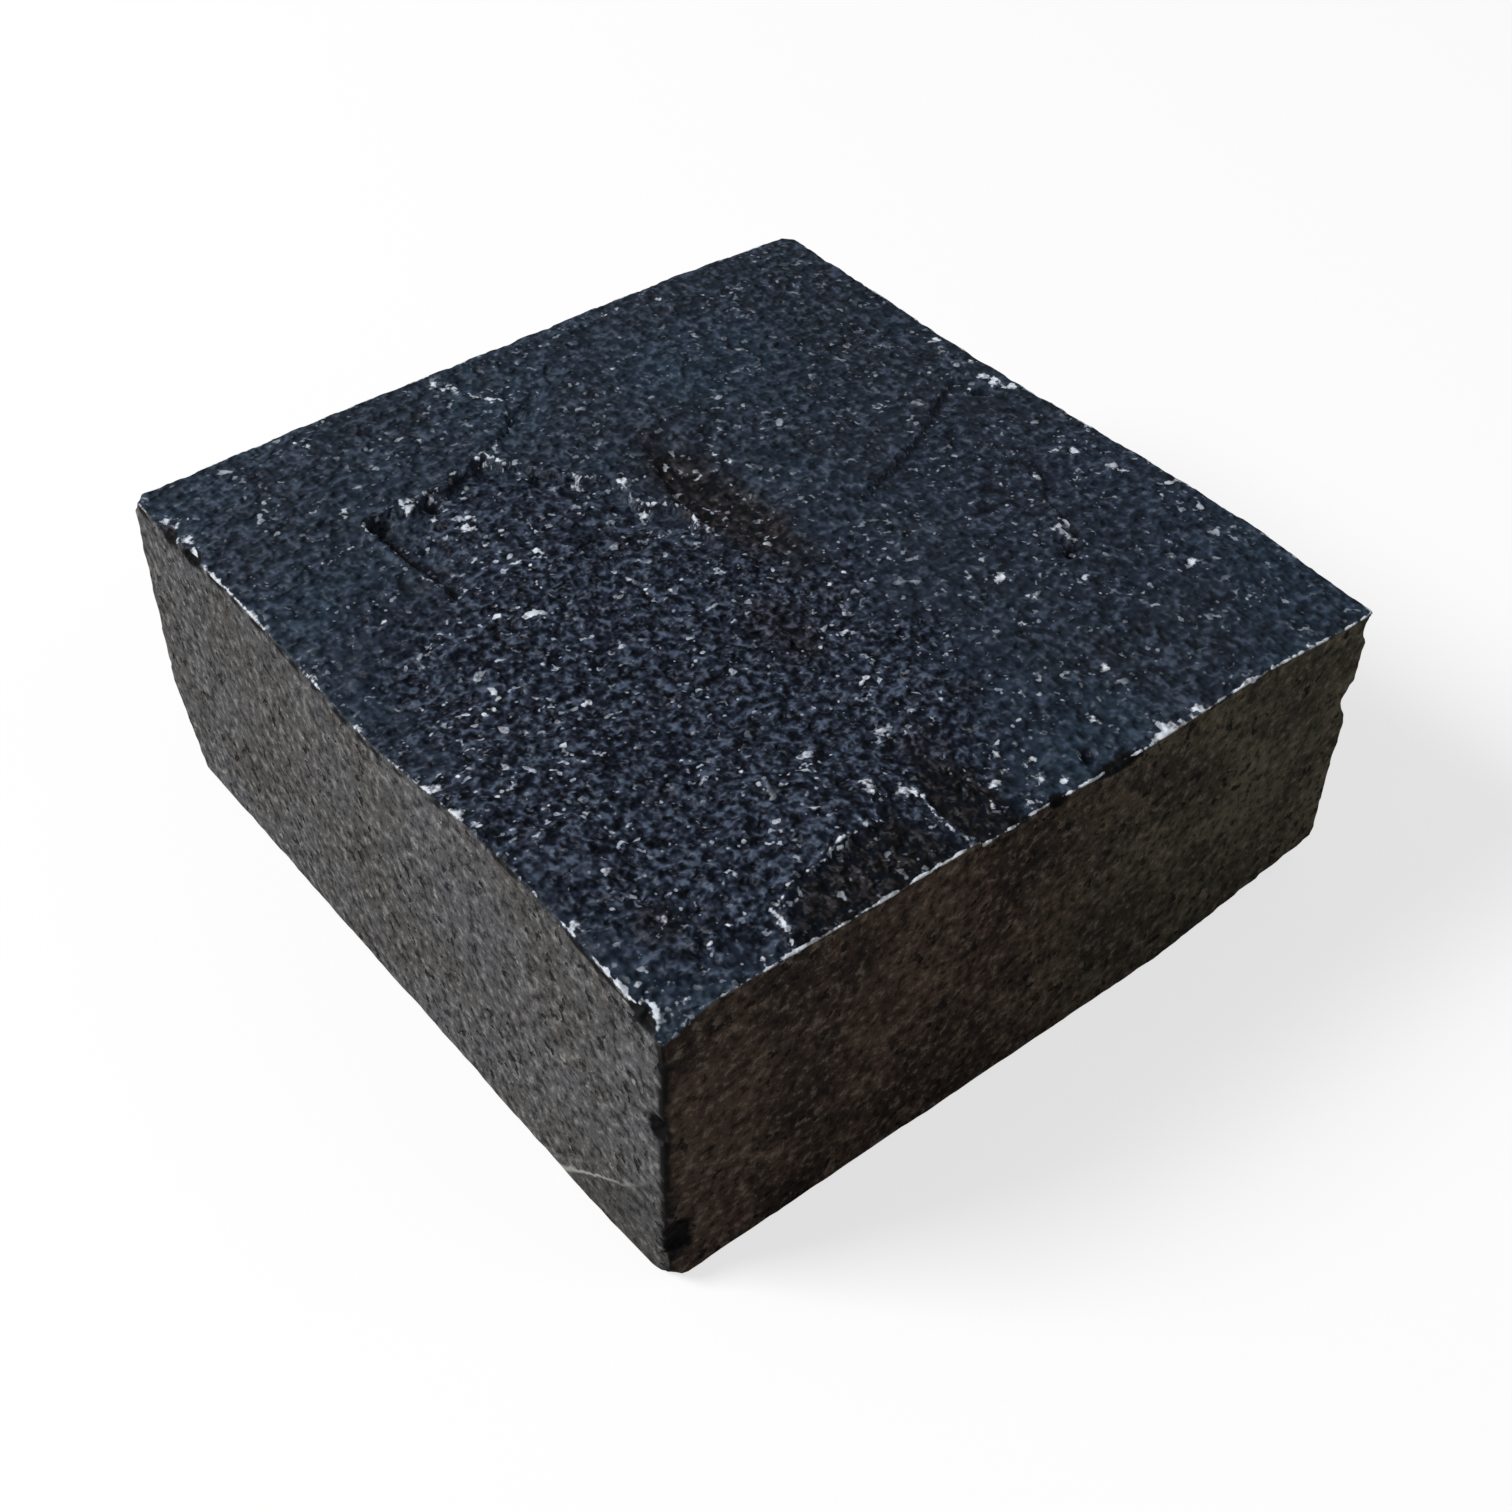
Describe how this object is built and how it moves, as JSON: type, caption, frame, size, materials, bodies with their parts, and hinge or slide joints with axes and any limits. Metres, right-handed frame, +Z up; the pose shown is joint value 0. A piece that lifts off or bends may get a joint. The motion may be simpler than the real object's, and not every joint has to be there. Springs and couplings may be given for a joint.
{
  "type": "basalt cobblestone",
  "caption": "Small square paving sett of dark basalt, with four sawn sides, a sawn bed and an uneven split top, for laying on bedding sand or mortar.",
  "frame": {"origin": "middle of the sawn bed, on the plane that the stone rests on", "axes": "+Z up through the split top, +X along the shorter side, +Y along the longer side"},
  "size_m": [0.0984, 0.102, 0.0417],
  "materials": {
    "basalt": "split and sawn, dry, unsealed"
  },
  "bodies": {
    "root": {"cobblestone": "basalt"}
  },
  "joints": []
}
